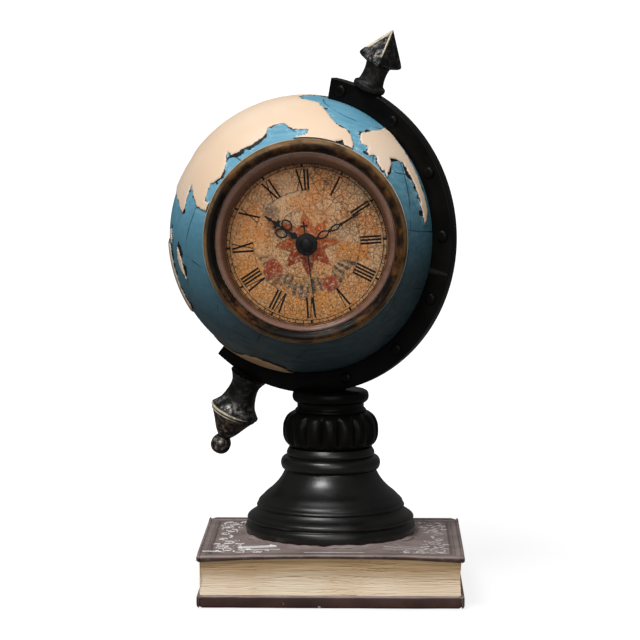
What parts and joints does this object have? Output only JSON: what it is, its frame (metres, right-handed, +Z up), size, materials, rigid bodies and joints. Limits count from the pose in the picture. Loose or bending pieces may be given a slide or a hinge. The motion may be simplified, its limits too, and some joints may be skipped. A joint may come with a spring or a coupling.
{
  "type": "desk clock",
  "caption": "Desk clock set in the side of a relief globe, held by a studded arc between two finials, on a turned pedestal that stands on a closed book",
  "frame": {"origin": "On the underside of the base pad, below the middle of the book's footprint", "axes": "+Z is up, the dial faces -Y, and +X is to the right of someone who reads the dial"},
  "size_m": [0.1534, 0.1285, 0.2902],
  "materials": {
    "globe_paint": "sea blue with raised cream land, black wash in the coasts",
    "black": "satin black paint",
    "finial": "black with bronze and silver dry-brushing",
    "bronze": "rubbed antique bronze over black",
    "plum": "satin purplish brown",
    "cover": "mauve-brown with a silver-white rubbed border",
    "pages": "cream with brown wash in the leaf lines",
    "felt": "dark felt",
    "dial": "crackled ochre print",
    "hands": "black",
    "glass": "clear",
    "brass": "turned",
    "case": "black moulded",
    "wheel": "white moulded",
    "steel": "plain",
    "copper": "enamelled copper winding",
    "board": "green solder mask",
    "battery": "plain sleeve"
  },
  "bodies": {
    "clock": {"base_pad": "felt", "book_lower_cover": "cover", "page_block": "pages", "book_upper_cover": "cover", "book_spine": "cover", "pedestal_foot": "black", "pedestal_bulb": "black", "pedestal_collar": "black", "meridian_arc": "black", "finial_top": "finial", "finial_bottom": "finial", "globe_front_shell": "globe_paint", "globe_rear_shell": "globe_paint", "bezel": "bronze", "insert_ring": "plum", "insert_housing": "plum", "lens": "glass", "dial_plate": "dial", "fixing_nut": "brass", "movement_case": "case", "movement_cover": "case", "stator": "steel", "coil": "copper", "circuit_board": "board", "battery_contact_left": "steel", "battery_contact_right": "steel"},
    "second": {"seconds_wheel": "wheel", "second_hand": "hands"},
    "third": {"third_wheel": "wheel"},
    "centre": {"centre_wheel": "wheel"},
    "drive": {"intermediate_wheel": "wheel"},
    "rotor": {"rotor": "steel"},
    "minute": {"minute_pipe": "brass", "minute_hand": "hands"},
    "motion": {"motion_wheel": "wheel"},
    "hour": {"hour_wheel": "wheel", "hour_hand": "hands"},
    "knob": {"setting_knob": "wheel"},
    "battery": {"battery": "battery"}
  },
  "joints": [
    {"name": "seconds_turn", "type": "hinge", "parent": "clock", "child": "second", "pos_m": [-0.0125, -0.02553, 0.1823], "axis": [0, 1, 0], "continuous": true},
    {"name": "third_turn", "type": "hinge", "parent": "clock", "child": "third", "pos_m": [-0.02185, -0.02553, 0.1877], "axis": [0, 1, 0], "continuous": true},
    {"name": "centre_turn", "type": "hinge", "parent": "clock", "child": "centre", "pos_m": [-0.0125, -0.02553, 0.1823], "axis": [0, 1, 0], "continuous": true},
    {"name": "drive_turn", "type": "hinge", "parent": "clock", "child": "drive", "pos_m": [-0.00284, -0.02553, 0.18788], "axis": [0, 1, 0], "continuous": true},
    {"name": "rotor_turn", "type": "hinge", "parent": "clock", "child": "rotor", "pos_m": [0.00136, -0.02553, 0.19515], "axis": [0, 1, 0], "continuous": true},
    {"name": "minute_turn", "type": "hinge", "parent": "clock", "child": "minute", "pos_m": [-0.0125, -0.02553, 0.1823], "axis": [0, 1, 0], "continuous": true},
    {"name": "motion_turn", "type": "hinge", "parent": "clock", "child": "motion", "pos_m": [-0.0125, -0.02553, 0.1913], "axis": [0, 1, 0], "continuous": true},
    {"name": "hour_turn", "type": "hinge", "parent": "clock", "child": "hour", "pos_m": [-0.0125, -0.02553, 0.1823], "axis": [0, 1, 0], "continuous": true},
    {"name": "knob_turn", "type": "hinge", "parent": "clock", "child": "knob", "pos_m": [-0.01495, -0.02553, 0.20043], "axis": [0, 1, 0], "continuous": true},
    {"name": "battery_slide", "type": "slide", "parent": "clock", "child": "battery", "axis": [0, 1, 0], "range_m": [0, 0.11]}
  ],
  "couplings": [
    {"joint": "third_turn", "follows": "seconds_turn", "ratio": -0.125},
    {"joint": "centre_turn", "follows": "seconds_turn", "ratio": 0.016667},
    {"joint": "drive_turn", "follows": "seconds_turn", "ratio": -5},
    {"joint": "rotor_turn", "follows": "seconds_turn", "ratio": 30},
    {"joint": "motion_turn", "follows": "minute_turn", "ratio": -0.33333},
    {"joint": "hour_turn", "follows": "minute_turn", "ratio": 0.083333},
    {"joint": "knob_turn", "follows": "minute_turn", "ratio": 0.83333}
  ]
}
